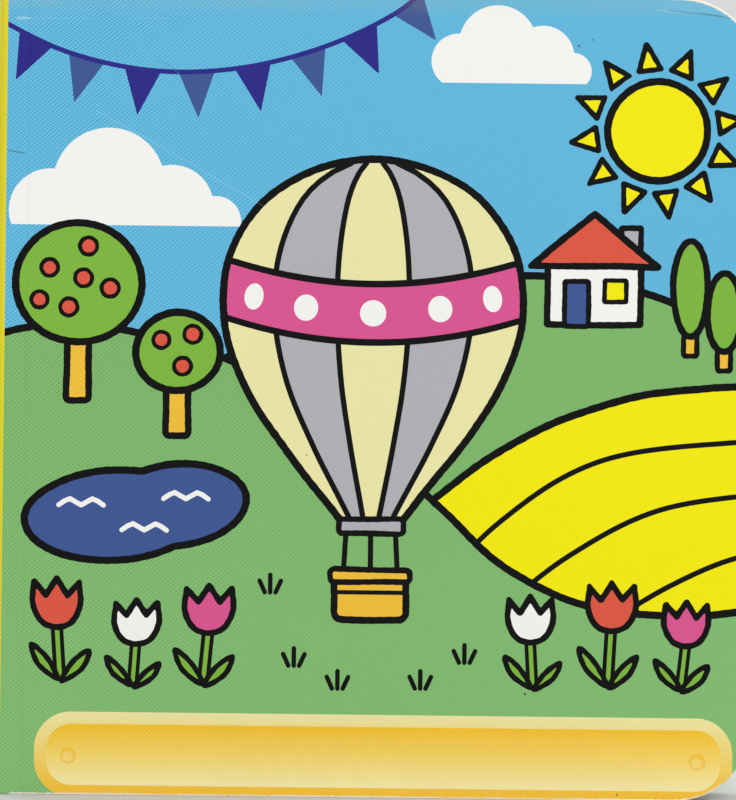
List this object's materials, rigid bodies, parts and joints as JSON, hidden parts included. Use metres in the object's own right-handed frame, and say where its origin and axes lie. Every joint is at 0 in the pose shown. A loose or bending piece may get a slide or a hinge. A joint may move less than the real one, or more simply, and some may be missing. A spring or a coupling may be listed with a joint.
{
  "type": "board book",
  "caption": "Small thick-leaved children's board book with rounded fore-edge corners, a wrap-around laminated cover that opens at two spine folds, and lift flaps inside.",
  "frame": {"origin": "on the floor, under the middle of the closed book as it stands on its tail edge", "axes": "+Z from tail to head, -Y out of the front cover, -X towards the spine and +X towards the fore-edge"},
  "size_m": [0.1564, 0.017, 0.165],
  "materials": {
    "cover_print": "gloss",
    "back_print": "gloss",
    "spine_print": "gloss",
    "page_board": "satin",
    "flap_card": "satin"
  },
  "bodies": {
    "book_block": {"pages": "page_board", "spine": "spine_print", "lift_flap_first": "flap_card", "lift_flap_last": "flap_card"},
    "front_board": {"front_cover": "cover_print"},
    "back_board": {"back_cover": "back_print"}
  },
  "joints": [
    {"name": "front_cover_fold", "type": "hinge", "parent": "book_block", "child": "front_board", "pos_m": [-0.07825, -0.0059, 0.0825], "axis": [0, 0, -1], "range_deg": [0, 180]},
    {"name": "back_cover_fold", "type": "hinge", "parent": "book_block", "child": "back_board", "pos_m": [-0.07825, 0.0059, 0.0825], "axis": [0, 0, 1], "range_deg": [0, 180]}
  ]
}
